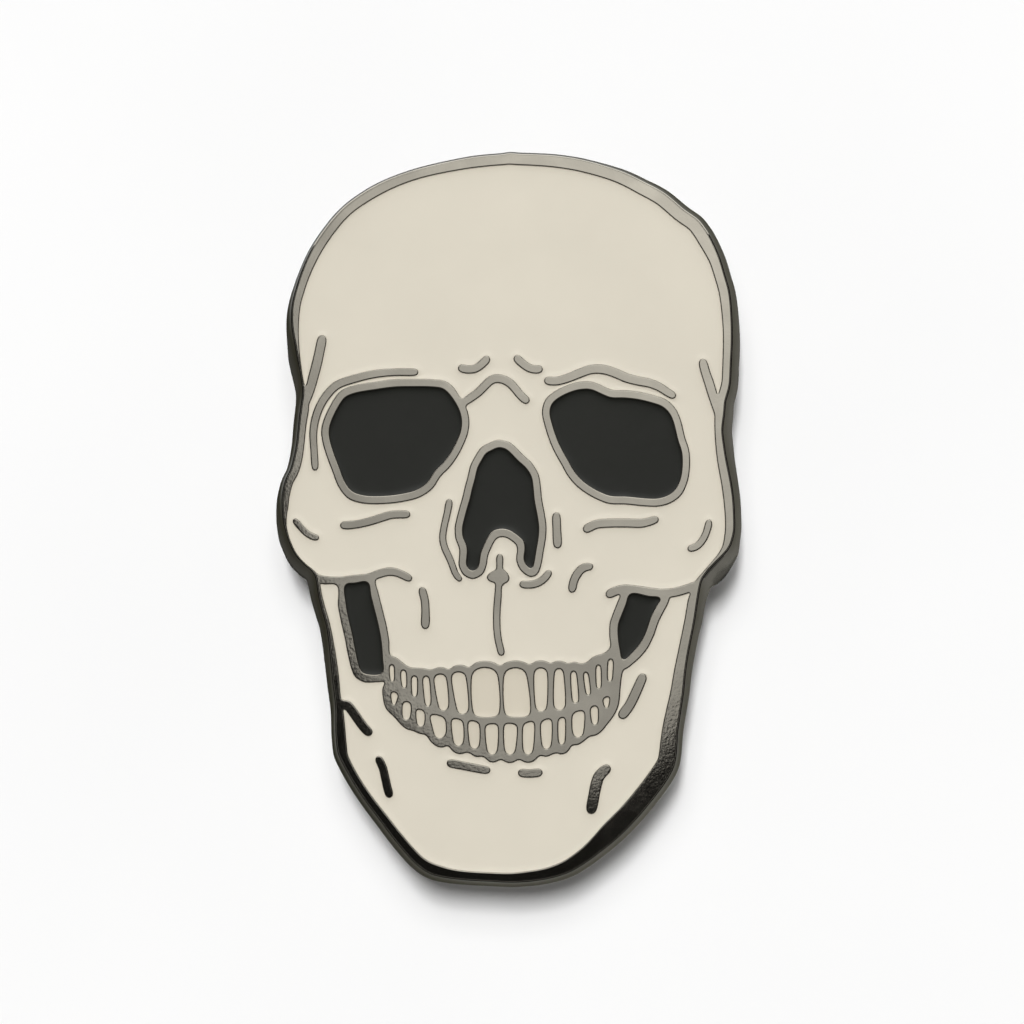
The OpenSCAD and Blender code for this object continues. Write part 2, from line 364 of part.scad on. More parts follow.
// ---- back hardware, drawn with its own z away from the plate's back ----
module behind(y) { translate([0, y, back_z]) rotate([180, 0, 0]) children(); }
module post() {
  color(steel) rotate_extrude($fn = 48)
    polygon([[0, 0], [pad_r - 0.06, 0], [pad_r, 0.06], [pad_r, pad_t - 0.08], [pad_r - 0.12, pad_t],
             [post_r + 0.25, pad_t], [post_r, pad_t + 0.12], [post_r, 3.72], [post_r - 0.12, 4.04],
             [post_r, 4.36], [post_r, post_len - 0.7], [post_r * 0.5, post_len - 0.12],
             [post_r * 0.2, post_len], [0, post_len]]);
}
module clutch_disc() {
  z1 = seat_gap + disc_t;
  color(steel) {
    rotate_extrude($fn = 96)
      polygon([[disc_bore_r, seat_gap + 0.05], [disc_bore_r + 0.05, seat_gap], [disc_r - 0.25, seat_gap],
               [disc_r - 0.07, seat_gap + 0.07], [disc_r, seat_gap + 0.25], [disc_r, z1 + 0.4],
               [disc_r - 0.07, z1 + 0.58], [disc_r - 0.25, z1 + 0.65], [disc_r - 0.45, z1 + 0.58],
               [disc_r - 0.52, z1 + 0.4], [disc_r - 0.45, z1 + 0.1], [disc_r - 0.6, z1],
               [disc_bore_r + 0.9, z1], [disc_bore_r + 0.75, z1 + 0.3], [disc_bore_r, z1 + 0.3]]);
    // lugs crimped over the spring base
    for (sx = [-1, 1]) for (sy = [-1, 1]) translate([sx * 2.2, sy * 2.6, 0]) {
      translate([-0.55, -0.15, z1 - 0.05]) cube([1.1, 0.3, leaf_t + 0.2]);
      translate([-0.55, sy > 0 ? -0.5 : -0.15, z1 + leaf_t]) cube([1.1, 0.65, 0.15]);
    }
  }
}
module clutch_spring_base() {
  z1 = seat_gap + disc_t;
  color(steel) {
    difference() {
      translate([-pivot_x - 0.25, -2.4, z1]) cube([2 * pivot_x + 0.5, 4.8, leaf_t]);
      translate([0, 0, z1 - 1]) cylinder(r = 1.9, h = 2, $fn = 64);
    }
    for (sx = [-1, 1]) translate([sx * pivot_x, 0, 0]) {
      for (sy = [-1, 1]) translate([0, sy * 2.15, 0]) {
        translate([-0.34, -0.25, z1 + leaf_t - 0.05]) cube([0.68, 0.5, pivot_z - z1 - leaf_t + 0.05]);
        translate([0, 0.25, pivot_z]) rotate([90, 0, 0]) cylinder(r = 0.34, h = 0.5, $fn = 32);
      }
      translate([0, 2.2, pivot_z]) rotate([90, 0, 0]) cylinder(r = pivot_r, h = 4.4, $fn = 32);
    }
  }
}
// one wing: a leaf that rises from its barrel, crosses the post and ends in a finger tab
module wing(path, plan) {
  difference() {
    union() {
      intersection() {
        translate([0, 3, 0]) rotate([90, 0, 0]) linear_extrude(6)
          polygon(line_outline([for (p = open_curve(path, 3)) [p[0], p[1], leaf_t]]));
        linear_extrude(back_z)
          polygon(concat(plan, [for (i = [len(plan) - 1:-1:0]) [plan[i][0], -plan[i][1]]]));
      }
      translate([pivot_x, 1.85, pivot_z]) rotate([90, 0, 0]) cylinder(r = pivot_r + 0.2, h = 3.7, $fn = 32);
    }
    translate([pivot_x, 3, pivot_z]) rotate([90, 0, 0]) cylinder(r = pivot_r + 0.06, h = 6, $fn = 32);
  }
}
// the lower-lying leaf has a window, whose near edge is its jaw
module wing_a() {
  color(steel) difference() {
    wing([[pivot_x, 2], [3.4, 2.04], [1.2, 2.68], [-1.2, 3.42], [-2.6, 3.88], [-3.15, 4.3], [-3.75, 5.1],
          [-4.55, 6.45], [-4.8, back_z - leaf_t / 2 + 0.05]],
         [[4.6, 1.84], [3.35, 1.84], [3.1, 2.3], [-3.3, 2.3], [-4.2, 2.15], [-4.65, 1.8], [-5.2, 1.2]]);
    translate([-2.6, -1.6, 0]) cube([2.6 + jaw_x, 3.2, 5]);
  }
}
// the other leaf is waisted to pass through that window, and has a slot for the post
module wing_b() {
  color(steel) rotate([0, 0, 180]) difference() {
    wing([[pivot_x, 2], [3.55, 2.1], [3.2, 2.38], [1.2, 3.05], [-1.2, 3.83], [-2.6, 4.28], [-3.15, 4.65],
          [-3.75, 5.35], [-4.55, 6.5], [-4.8, back_z - leaf_t / 2 + 0.05]],
         [[4.6, 1.84], [3.35, 1.84], [3.1, 2.3], [2.1, 2.3], [1.7, 1.35], [-0.75, 1.35], [-1.15, 2.3],
         [-3.3, 2.3],
          [-4.2, 2.15], [-4.65, 1.8], [-5.2, 1.2]]);
    translate([-1.3, -0.65, 0]) cube([1.3 + jaw_x, 1.3, 5]);
  }
}

module upper_post() { behind(post_top_y) post(); }
module lower_post() { behind(-post_low_y) post(); }
module upper_clutch_disc() { behind(post_top_y) clutch_disc(); }
module upper_clutch_spring_base() { behind(post_top_y) clutch_spring_base(); }
module upper_clutch_wing_a() { behind(post_top_y) wing_a(); }
module upper_clutch_wing_b() { behind(post_top_y) wing_b(); }
module lower_clutch_disc() { behind(-post_low_y) clutch_disc(); }
module lower_clutch_spring_base() { behind(-post_low_y) clutch_spring_base(); }
module lower_clutch_wing_a() { behind(-post_low_y) wing_a(); }
module lower_clutch_wing_b() { behind(-post_low_y) wing_b(); }

die_struck_plate();
enamel_cranium_face();
enamel_jaw();
enamel_eye_left();
enamel_eye_right();
enamel_nose();
enamel_gap_left();
enamel_gap_right();
upper_tooth(1);  // upper_tooth_enamel_01
upper_tooth(2);  // upper_tooth_enamel_02
upper_tooth(3);  // upper_tooth_enamel_03
upper_tooth(4);  // upper_tooth_enamel_04
upper_tooth(5);  // upper_tooth_enamel_05
upper_tooth(6);  // upper_tooth_enamel_06
upper_tooth(7);  // upper_tooth_enamel_07
upper_tooth(8);  // upper_tooth_enamel_08
upper_tooth(9);  // upper_tooth_enamel_09
upper_tooth(10);  // upper_tooth_enamel_10
upper_tooth(11);  // upper_tooth_enamel_11
upper_tooth(12);  // upper_tooth_enamel_12
upper_tooth(13);  // upper_tooth_enamel_13
upper_tooth(14);  // upper_tooth_enamel_14
lower_tooth(1);  // lower_tooth_enamel_01
lower_tooth(2);  // lower_tooth_enamel_02
lower_tooth(3);  // lower_tooth_enamel_03
lower_tooth(4);  // lower_tooth_enamel_04
lower_tooth(5);  // lower_tooth_enamel_05
lower_tooth(6);  // lower_tooth_enamel_06
lower_tooth(7);  // lower_tooth_enamel_07
lower_tooth(8);  // lower_tooth_enamel_08
lower_tooth(9);  // lower_tooth_enamel_09
lower_tooth(10);  // lower_tooth_enamel_10
lower_tooth(11);  // lower_tooth_enamel_11
lower_tooth(12);  // lower_tooth_enamel_12
lower_tooth(13);  // lower_tooth_enamel_13
lower_tooth(14);  // lower_tooth_enamel_14
upper_post();
lower_post();
upper_clutch_disc();
upper_clutch_spring_base();
upper_clutch_wing_a();
upper_clutch_wing_b();
lower_clutch_disc();
lower_clutch_spring_base();
lower_clutch_wing_a();
lower_clutch_wing_b();
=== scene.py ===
"""Soft-enamel skull pin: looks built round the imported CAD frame."""
import math

import bmesh
import bpy
import numpy as np
from mathutils import Matrix, Vector
from mathutils.geometry import delaunay_2d_cdt
from mathutils.kdtree import KDTree


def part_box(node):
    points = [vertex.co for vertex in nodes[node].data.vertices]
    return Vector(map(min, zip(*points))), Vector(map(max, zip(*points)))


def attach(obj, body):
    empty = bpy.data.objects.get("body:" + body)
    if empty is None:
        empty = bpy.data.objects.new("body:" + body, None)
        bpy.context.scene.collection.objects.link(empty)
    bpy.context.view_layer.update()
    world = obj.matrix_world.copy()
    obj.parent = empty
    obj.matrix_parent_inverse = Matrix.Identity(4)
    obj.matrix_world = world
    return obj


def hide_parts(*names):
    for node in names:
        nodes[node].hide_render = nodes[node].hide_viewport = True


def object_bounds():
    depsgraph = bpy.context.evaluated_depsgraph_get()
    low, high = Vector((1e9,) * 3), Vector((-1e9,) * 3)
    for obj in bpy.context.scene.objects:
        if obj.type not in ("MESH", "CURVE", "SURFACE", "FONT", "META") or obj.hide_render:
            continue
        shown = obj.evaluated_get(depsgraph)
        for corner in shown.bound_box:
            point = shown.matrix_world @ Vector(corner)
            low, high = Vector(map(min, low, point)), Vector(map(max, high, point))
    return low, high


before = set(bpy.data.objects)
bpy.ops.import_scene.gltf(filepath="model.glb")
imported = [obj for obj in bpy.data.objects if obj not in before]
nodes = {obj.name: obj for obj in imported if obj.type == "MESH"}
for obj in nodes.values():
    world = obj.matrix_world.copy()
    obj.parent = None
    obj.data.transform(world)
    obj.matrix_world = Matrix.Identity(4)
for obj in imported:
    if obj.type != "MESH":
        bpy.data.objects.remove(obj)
bpy.context.view_layer.update()
cad_low, cad_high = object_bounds()

MM = 0.001                 # mesh work is done in millimetres and stored in metres
PLATE = "die_struck_plate"
BIG_CREAM = ("enamel_cranium_face", "enamel_jaw")
TOP_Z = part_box(PLATE)[1].z / MM
BACK_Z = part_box(PLATE)[0].z / MM
ENAMEL_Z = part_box("enamel_jaw")[1].z / MM
FLOOR_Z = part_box("enamel_jaw")[0].z / MM

STEP = 0.075               # spacing of the points along every outline
ROUND = 0.05               # radius of the raised lines' edges
MENISCUS = 0.10            # how far the enamel climbs its walls
MENISCUS_REACH = 0.13      # how far from its wall that climb reaches
PLATING = 0.01             # how far the plating builds out from every cell wall
EDGE_ROWS = [0.012, 0.025, 0.038, 0.05, 0.066, 0.15]      # rows of points beside the metal's edges
METAL_GRID, BACK_GRID = 0.6, 0.9                           # spacing of the points further in
FILL_ROWS, FILL_GRID = [0.03, 0.075, 0.14, 0.23, 0.36], 0.55
TOOTH_ROWS, TOOTH_GRID = [0.03, 0.075, 0.14, 0.22], 0.3
SHARP = 50                 # degrees between faces that still shade as one


# ---------------------------------------------------------------- outlines
def merged_mesh(node):
    """Points in millimetres with doubles joined, and the triangles between them."""
    mesh = nodes[node].data
    co = np.array([v.co for v in mesh.vertices]) / MM
    points, index = np.unique(np.round(co, 3), axis=0, return_inverse=True)
    index = index.ravel()
    mesh.calc_loop_triangles()
    return points, [[int(index[i]) for i in t.vertices] for t in mesh.loop_triangles]


def chains(edges):
    """Directed edges joined end to end into closed chains."""
    after = {}
    for a, b in edges:
        after.setdefault(a, []).append(b)
    found = []
    while after:
        start = next(iter(after))
        chain, here = [], start
        while here in after:
            chain.append(here)
            onward = after[here].pop()
            if not after[here]:
                del after[here]
            here = onward
        found.append(chain)
    return found


def flat_loops(points, tris, z):
    """Border loops of the flat faces at height z, with the face on the left."""
    edges = set()
    for t in tris:
        if all(abs(points[i][2] - z) < 0.002 for i in t):
            a, b, c = (points[i][:2] for i in t)
            if (b[0] - a[0]) * (c[1] - a[1]) < (b[1] - a[1]) * (c[0] - a[0]):
                t = t[::-1]
            edges.update(zip(t, t[1:] + t[:1]))
    return chains([(a, b) for a, b in edges if (b, a) not in edges])


def area_of(p):
    x, y = p[:, 0], p[:, 1]
    return 0.5 * float(np.sum(x * np.roll(y, -1) - y * np.roll(x, -1)))


def smoothed(p, step=STEP, blur=1.3):
    """A closed row of points, the first two columns x and y, as an even, rounded curve."""
    n = len(p)
    dense = []
    for i in range(n):
        q = [p[(i + k - 1) % n] for k in range(4)]
        t = [0.0]
        for a, b in zip(q, q[1:]):
            t.append(t[-1] + max(math.sqrt(math.hypot(*(b[:2] - a[:2]))), 1e-4))
        for s in np.linspace(t[1], t[2], 8, endpoint=False):
            a = [q[k] * (t[k + 1] - s) / (t[k + 1] - t[k]) + q[k + 1] * (s - t[k]) / (t[k + 1] - t[k])
                 for k in range(3)]
            b = [a[k] * (t[k + 2] - s) / (t[k + 2] - t[k]) + a[k + 1] * (s - t[k]) / (t[k + 2] - t[k])
                 for k in range(2)]
            dense.append(b[0] * (t[2] - s) / (t[2] - t[1]) + b[1] * (s - t[1]) / (t[2] - t[1]))
    dense = np.array(dense)
    closed = np.vstack([dense, dense[:1]])
    along = np.concatenate([[0], np.cumsum(np.hypot(*np.diff(closed[:, :2], axis=0).T))])
    count = max(12, int(round(along[-1] / step)))
    at = np.linspace(0, along[-1], count, endpoint=False)
    even = np.column_stack([np.interp(at, along, closed[:, k]) for k in range(closed.shape[1])])
    weights = np.exp(-0.5 * (np.arange(-3, 4) / blur) ** 2)
    weights /= weights.sum()
    return sum(w * np.roll(even, k, axis=0) for w, k in zip(weights, range(-3, 4)))


def inward(p):
    """Unit normals to the left of a closed row of points."""
    d = np.roll(p, -1, axis=0) - np.roll(p, 1, axis=0)
    d /= np.maximum(np.linalg.norm(d, axis=1), 1e-9)[:, None]
    return np.column_stack([-d[:, 1], d[:, 0]])


def within(points, loops):
    """Which points lie inside the region that the loops bound."""
    a = np.vstack(loops)
    b = np.vstack([np.roll(l, -1, axis=0) for l in loops])
    out = np.zeros(len(points), bool)
    for start in range(0, len(points), 2000):
        q = points[start:start + 2000]
        x, y = q[:, 0][:, None], q[:, 1][:, None]
        cross = (a[:, 1] > y) != (b[:, 1] > y)
        rise = np.where(a[:, 1] == b[:, 1], 1.0, b[:, 1] - a[:, 1])
        hit = cross & (x < a[:, 0] + (y - a[:, 1]) * (b[:, 0] - a[:, 0]) / rise)
        out[start:start + 2000] = hit.sum(axis=1) % 2 == 1
    return out


def tree_of(points):
    tree = KDTree(len(points))
    for i, p in enumerate(points):
        tree.insert((p[0], p[1], 0), i)
    tree.balance()
    return tree


def surface(loops, rows, grid):
    """Triangles over the region on the left of the loops, with rows of points beside its border
    and a grid inside. Returns the points, each one's distance from the border, the triangles,
    and each loop's own points."""
    border = np.vstack(loops)
    tree = tree_of(border)
    pts, dist = list(border), [0.0] * len(border)
    ends = np.cumsum([0] + [len(l) for l in loops])
    keep = [list(range(a, b)) for a, b in zip(ends, ends[1:])]
    extra = []
    for d in rows:
        for l in loops:
            for q in l + inward(l) * d:
                if tree.find((q[0], q[1], 0))[2] > 0.94 * d:
                    extra.append((q[0], q[1]))
    if grid:
        low, high = border.min(0), border.max(0)
        reach = (rows[-1] if rows else 0) + 0.5 * grid
        for i, x in enumerate(np.arange(low[0], high[0], grid)):
            for y in np.arange(low[1] + (i % 2) * grid / 2, high[1], grid):
                if tree.find((x, y, 0))[2] > reach:
                    extra.append((x, y))
    if extra:
        extra = np.array(extra)
        extra = extra[within(extra, loops)]
        taken = tree_of(extra)
        used = np.ones(len(extra), bool)
        for i, q in enumerate(extra):
            if used[i]:
                for _, j, _ in taken.find_range((q[0], q[1], 0), 0.009):
                    if j > i:
                        used[j] = False
        for q in extra[used]:
            pts.append(q)
            dist.append(tree.find((q[0], q[1], 0))[2])
    edges = [(k[i], k[(i + 1) % len(k)]) for k in keep for i in range(len(k))]
    got = delaunay_2d_cdt([Vector((float(p[0]), float(p[1]))) for p in pts], edges, [], 0, 1e-7)
    co = np.array([(v.x, v.y) for v in got[0]])
    faces = np.array([list(f) for f in got[2]])
    inside = within(co[faces].mean(axis=1), loops)
    new_of = {}
    for new, olds in enumerate(got[3]):
        for old in olds:
            new_of[old] = new
    far = np.array([tree.find((q[0], q[1], 0))[2] for q in co])
    for old, new in new_of.items():
        far[new] = dist[old]
    return co, far, faces[inside], [[new_of[i] for i in k] for k in keep]


def quads(a, b):
    """Faces between two closed rows of point numbers."""
    n = len(a)
    return [(a[i], a[(i + 1) % n], b[(i + 1) % n], b[i]) for i in range(n)]


def renumbered(flat, rows):
    """A flat surface's triangles, with its border points numbered as in the given rows."""
    _, _, tri, keep = flat
    number = {a: b for ours, theirs in zip(keep, rows) for a, b in zip(ours, theirs)}
    return [[number[i] for i in f] for f in tri if all(i in number for i in f)]


def make(name, points, faces, material):
    """A new piece from points in millimetres, with doubles joined and its shading set."""
    mesh = bpy.data.meshes.new(name)
    mesh.from_pydata([(p[0] * MM, p[1] * MM, p[2] * MM) for p in points], [],
                     [tuple(int(i) for i in f) for f in faces])
    bm = bmesh.new()
    bm.from_mesh(mesh)
    bmesh.ops.remove_doubles(bm, verts=bm.verts, dist=1e-7)
    loose = [v for v in bm.verts if not v.link_faces]
    bmesh.ops.delete(bm, geom=loose, context="VERTS")
    bmesh.ops.recalc_face_normals(bm, faces=bm.faces)
    bm.to_mesh(mesh)
    bm.free()
    mesh.polygons.foreach_set("use_smooth", [True] * len(mesh.polygons))
    obj = bpy.data.objects.new(name, mesh)
    bpy.context.scene.collection.objects.link(obj)
    mesh.materials.append(material)
    mesh.set_sharp_from_angle(angle=math.radians(SHARP))
    normals = obj.modifiers.new("normals", "WEIGHTED_NORMAL")
    normals.keep_sharp = True
    return obj


# ---------------------------------------------------------------- materials
def new_material(name):
    """An empty material with a Principled shader: the material, its tree, and the shader."""
    m = bpy.data.materials.new(name)
    m.use_nodes = True
    tree = m.node_tree
    tree.nodes.clear()
    out = tree.nodes.new("ShaderNodeOutputMaterial")
    shader = tree.nodes.new("ShaderNodeBsdfPrincipled")
    tree.links.new(shader.outputs[0], out.inputs[0])
    return m, tree, shader


def node(tree, kind, **values):
    """A new node, with each value set as its own setting or on the socket of that name."""
    n = tree.nodes.new(kind)
    for key, value in values.items():
        if hasattr(n, key):
            setattr(n, key, value)
        else:
            n.inputs[key.replace("_", " ")].default_value = value
    return n


def noise(tree, size_mm, detail=2.0, rough=0.5):
    """Noise whose grain is about size_mm across, in the part's own coordinates."""
    coord = node(tree, "ShaderNodeTexCoord")
    mapping = node(tree, "ShaderNodeMapping")
    for i in range(3):
        mapping.inputs["Scale"].default_value[i] = 1 / (size_mm * MM)
    tree.links.new(coord.outputs["Object"], mapping.inputs["Vector"])
    n = node(tree, "ShaderNodeTexNoise", Scale=1.0, Detail=detail, Roughness=rough)
    tree.links.new(mapping.outputs[0], n.inputs["Vector"])
    return n.outputs[0]


def remap(tree, value, low, high, to_low, to_high):
    r = node(tree, "ShaderNodeMapRange")
    for key, v in zip(("From Min", "From Max", "To Min", "To Max"), (low, high, to_low, to_high)):
        r.inputs[key].default_value = v
    tree.links.new(value, r.inputs["Value"])
    return r.outputs["Result"]


def ramp(tree, value, stops):
    r = node(tree, "ShaderNodeValToRGB")
    while len(r.color_ramp.elements) < len(stops):
        r.color_ramp.elements.new(0.5)
    for e, (at, colour) in zip(r.color_ramp.elements, stops):
        e.position = at
        e.color = (*colour, 1)
    tree.links.new(value, r.inputs[0])
    return r.outputs[0]


def bump(tree, shader, layers):
    """Stacks bump layers: (height socket, depth in micrometres)."""
    normal = None
    for height, depth in layers:
        b = node(tree, "ShaderNodeBump", Strength=1.0, Distance=depth * 1e-6)
        tree.links.new(height, b.inputs["Height"])
        if normal:
            tree.links.new(normal, b.inputs["Normal"])
        normal = b.outputs[0]
    tree.links.new(normal, shader.inputs["Normal"])


def tint(colour, k):
    return tuple(min(1.0, c * k) for c in colour)


def metal_material(name, colour, rough, peel_um, grain_um, worn=1.15):
    """Plated metal: cloudy tone, uneven polish, and a fine orange peel."""
    m, t, s = new_material(name)
    s.inputs["Metallic"].default_value = 1.0
    cloud = noise(t, 2.2, 3)
    t.links.new(ramp(t, cloud, [(0.3, tint(colour, 0.93)), (0.5, colour), (0.72, tint(colour, worn))]),
                s.inputs["Base Color"])
    t.links.new(remap(t, noise(t, 0.5, 4, 0.6), 0.3, 0.7, rough * 0.8, rough * 1.3), s.inputs["Roughness"])
    bump(t, s, [(noise(t, 0.14, 1.5), peel_um), (noise(t, 0.05, 2), grain_um)])
    return m


def enamel_material(name, colour, mottled, rough=0.42, specular=0.2):
    """Baked soft enamel: nearly matt, a little uneven in tone and level."""
    m, t, s = new_material(name)
    s.inputs["Specular IOR Level"].default_value = specular
    cloud = noise(t, 5.0, 3, 0.55)
    tone = ramp(t, cloud, [(0.3, tint(colour, 1 - mottled)), (0.5, colour),
                           (0.7, tint(colour, 1 + mottled))])
    t.links.new(tone, s.inputs["Base Color"])
    t.links.new(remap(t, noise(t, 1.1, 3), 0.3, 0.7, rough * 0.85, rough * 1.2), s.inputs["Roughness"])
    bump(t, s, [(noise(t, 3.2, 1.5), 3.0), (noise(t, 0.35, 2), 0.5)])
    return m


black_nickel = metal_material("black_nickel", (0.152, 0.143, 0.122), 0.035, 0.42, 0.09)
# painted shade: the side wall is darker than the top and fades darker from the right side to the left,
# standing in for the shadowed floor that the wall mirrors
shaded_side_nickel = metal_material("black_nickel_side_painted_shade", (0.13, 0.125, 0.108), 0.2, 1.5, 0.4)
wall_tree = shaded_side_nickel.node_tree
wall_shader = next(n for n in wall_tree.nodes if n.type == "BSDF_PRINCIPLED")
wall_shader.inputs["Specular Tint"].default_value = (0.42, 0.42, 0.4, 1)
wall_tone = wall_shader.inputs["Base Color"].links[0].from_socket
# painted shade: the wall's tone is scaled from 0.4 on the left to 0.95 on the right
place = node(wall_tree, "ShaderNodeSeparateXYZ")
wall_tree.links.new(node(wall_tree, "ShaderNodeTexCoord").outputs["Object"], place.inputs[0])
shade = node(wall_tree, "ShaderNodeVectorMath", operation="SCALE")
wall_tree.links.new(wall_tone, shade.inputs[0])
wall_tree.links.new(remap(wall_tree, place.outputs[0], -9 * MM, 6 * MM, 0.4, 0.95),
                    shade.inputs["Scale"])
wall_tree.links.new(shade.outputs[0], wall_shader.inputs["Base Color"])
nickel = metal_material("nickel_plate", (0.66, 0.64, 0.60), 0.24, 1.2, 0.8, 1.08)
cream = enamel_material("cream_enamel", (0.63, 0.586, 0.491), 0.02)
# painted shade: the teeth's cream is darker than the other cream fills, for the shade in their narrow
# cells
shaded_tooth_cream = enamel_material("tooth_enamel", (0.57, 0.522, 0.425), 0.03)
black = enamel_material("black_enamel", (0.0085, 0.009, 0.007), 0.12)


# ---------------------------------------------------------------- the plate
plate_points, plate_tris = merged_mesh(PLATE)
top_chains = [plate_points[c][:, :2] for c in flat_loops(plate_points, plate_tris, TOP_Z)]
top_chains = [c for c in top_chains if abs(area_of(c)) > 0.04]
outer_at = max(range(len(top_chains)), key=lambda i: abs(area_of(top_chains[i])))

# wall rings from the top edge down to the foot, matched point for point
levels = sorted({round(float(z), 2) for z in plate_points[:, 2]} - {round(FLOOR_Z, 2)}, reverse=True)


def level_of(i):
    return min(range(len(levels)), key=lambda k: abs(levels[k] - plate_points[i][2]))


def wall_ring(k, other):
    """The closed row of points at level k that the wall faces reaching to level other share."""
    beside = {}
    for t in plate_tris:
        at = [level_of(i) for i in t]
        if sorted(set(at)) == sorted((k, other)) and at.count(k) == 2:
            a, b = (i for i, l in zip(t, at) if l == k)
            beside.setdefault(a, set()).add(b)
            beside.setdefault(b, set()).add(a)
    ring = [min(beside)]
    while True:
        onward = [n for n in beside[ring[-1]] if n not in ring[-2:-1] and n not in ring[1:]]
        if not onward or onward[0] == ring[0]:
            break
        ring.append(onward[0])
    p = plate_points[ring][:, :2]
    return p if area_of(p) > 0 else p[::-1]


ring_rows = []
for k in range(len(levels)):
    p = wall_ring(k, k + 1 if k + 1 < len(levels) else k - 1)
    if ring_rows:
        above = ring_rows[-1]
        turn = min(range(len(p)), key=lambda n: float(((np.roll(p, -n, axis=0) - above) ** 2).sum()))
        p = np.roll(p, -turn, axis=0)
    ring_rows.append(p)
levels = levels[1:]
rings = smoothed(np.hstack(ring_rows), blur=2.0)
rings = [rings[:, 2 * k:2 * k + 2] for k in range(len(ring_rows))]

# every pocket's border, with the metal on its left
cell_loops = [smoothed(c) for i, c in enumerate(top_chains) if i != outer_at]
cell_loops = [c - inward(c) * PLATING for c in cell_loops]
cell_corners = [{(round(float(x), 3), round(float(y), 3)) for x, y in c}
                for i, c in enumerate(top_chains) if i != outer_at]


def edge_drop(d):
    """How far the metal's top lies below its highest level, at distance d from an edge."""
    within_round = np.clip(1 - d / ROUND, 0, 1)
    return ROUND * (1 - np.sqrt(1 - within_round ** 2 * 0.98))


metal_xy, metal_far, metal_faces, metal_keep = surface([rings[0]] + cell_loops, EDGE_ROWS, METAL_GRID)
points = [(p[0], p[1], TOP_Z - h) for p, h in zip(metal_xy, edge_drop(metal_far))]
faces = [list(f) for f in metal_faces]


def add_row(row, z):
    """Adds a row of points to the plate at height z, and gives their numbers."""
    first = len(points)
    points.extend((p[0], p[1], z) for p in row)
    return list(range(first, len(points)))


# outer wall and back
wall_rows = [metal_keep[0]]
for row, z in zip(rings[1:], levels):
    wall_rows.append(add_row(row, min(z, TOP_Z - ROUND * 0.9)))
for a, b in zip(wall_rows, wall_rows[1:]):
    faces += quads(a, b)
back_xy, _, back_faces, back_keep = surface([rings[-1]], [0.15], BACK_GRID)
back_index = {}
back_edge = set(back_keep[0])
for i, q in enumerate(back_xy):
    if i in back_edge:
        continue
    back_index[i] = len(points)
    points.append((q[0], q[1], BACK_Z))
for i, j in zip(back_keep[0], wall_rows[-1]):
    back_index[i] = j
faces += [[back_index[i] for i in f][::-1] for f in back_faces]

# pocket walls and floors
enamel_nodes = [n for n in nodes if "enamel" in n]
floor_rows = []
for loop, ring in zip(cell_loops, metal_keep[1:]):
    floor_rows.append(add_row(loop, FLOOR_Z))
    faces += quads(floor_rows[-1], ring)
cells_of, floor_of = {}, {}
for n in enamel_nodes:
    pts, tris = merged_mesh(n)
    cells_of[n] = []
    for chain in flat_loops(pts, tris, ENAMEL_Z):
        corners = {(round(float(x), 3), round(float(y), 3)) for x, y in pts[chain][:, :2]}
        best = max(range(len(cell_loops)), key=lambda k: len(corners & cell_corners[k]))
        if len(corners & cell_corners[best]) > 3:
            cells_of[n].append(best)
    floor_of[n] = surface([cell_loops[k][::-1] for k in cells_of[n]], [], 0)
    faces += renumbered(floor_of[n], [floor_rows[k][::-1] for k in cells_of[n]])

plate = make("plate_struck_metal", points, faces, black_nickel)
plate.data.materials.append(shaded_side_nickel)
# faces nearer the outline than any pocket, below the rounded edge, are the side wall
outline = tree_of(rings[0])
inner = tree_of(np.vstack(cell_loops))
for face in plate.data.polygons:
    x, y, z = face.center / MM
    nearer_outline = outline.find((x, y, 0))[2] < inner.find((x, y, 0))[2]
    if z < TOP_Z - ROUND and face.normal.z > -0.5 and nearer_outline:
        face.material_index = 1
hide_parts(PLATE)
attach(plate, "pin")

# ---------------------------------------------------------------- enamel fills
for n in enamel_nodes:
    loops = [cell_loops[k][::-1] for k in cells_of[n]]
    if "tooth" in n:
        material, slot, climb, rows, grid = shaded_tooth_cream, "tooth_enamel", 0.75, TOOTH_ROWS, TOOTH_GRID
    elif n in BIG_CREAM:
        material, slot, climb, rows, grid = cream, "cream_enamel", 1.0, FILL_ROWS, FILL_GRID
    else:
        material, slot, climb, rows, grid = black, "black_enamel", 0.4, FILL_ROWS, FILL_GRID
    xy, far, tri, keep = surface(loops, rows, grid)
    pts = [(p[0], p[1], ENAMEL_Z - 0.03 + MENISCUS * climb * math.exp(-d / MENISCUS_REACH))
           for p, d in zip(xy, far)]
    fcs = [list(f) for f in tri]
    under = []
    for ring, loop in zip(keep, loops):
        under.append(list(range(len(pts), len(pts) + len(loop))))
        pts += [(q[0], q[1], FLOOR_Z + 0.01) for q in loop]
        fcs += quads(under[-1], ring)
    fcs += [f[::-1] for f in renumbered(floor_of[n], under)]
    fill = make(n + "_fill", pts, fcs, material)
    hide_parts(n)
    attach(fill, "pin")

# ---------------------------------------------------------------- posts and clutches
for n, obj in nodes.items():
    if n == PLATE or "enamel" in n:
        continue
    obj.data.materials.clear()
    obj.data.materials.append(nickel)
    weld = obj.modifiers.new("weld", "WELD")
    weld.merge_threshold = 1e-6
    edge = obj.modifiers.new("edges", "BEVEL")
    edge.width = 0.045 * MM
    edge.segments = 2
    edge.limit_method = "ANGLE"
    edge.angle_limit = math.radians(38)
    obj.data.polygons.foreach_set("use_smooth", [True] * len(obj.data.polygons))
    smooth = obj.modifiers.new("normals", "WEIGHTED_NORMAL")
    smooth.keep_sharp = True

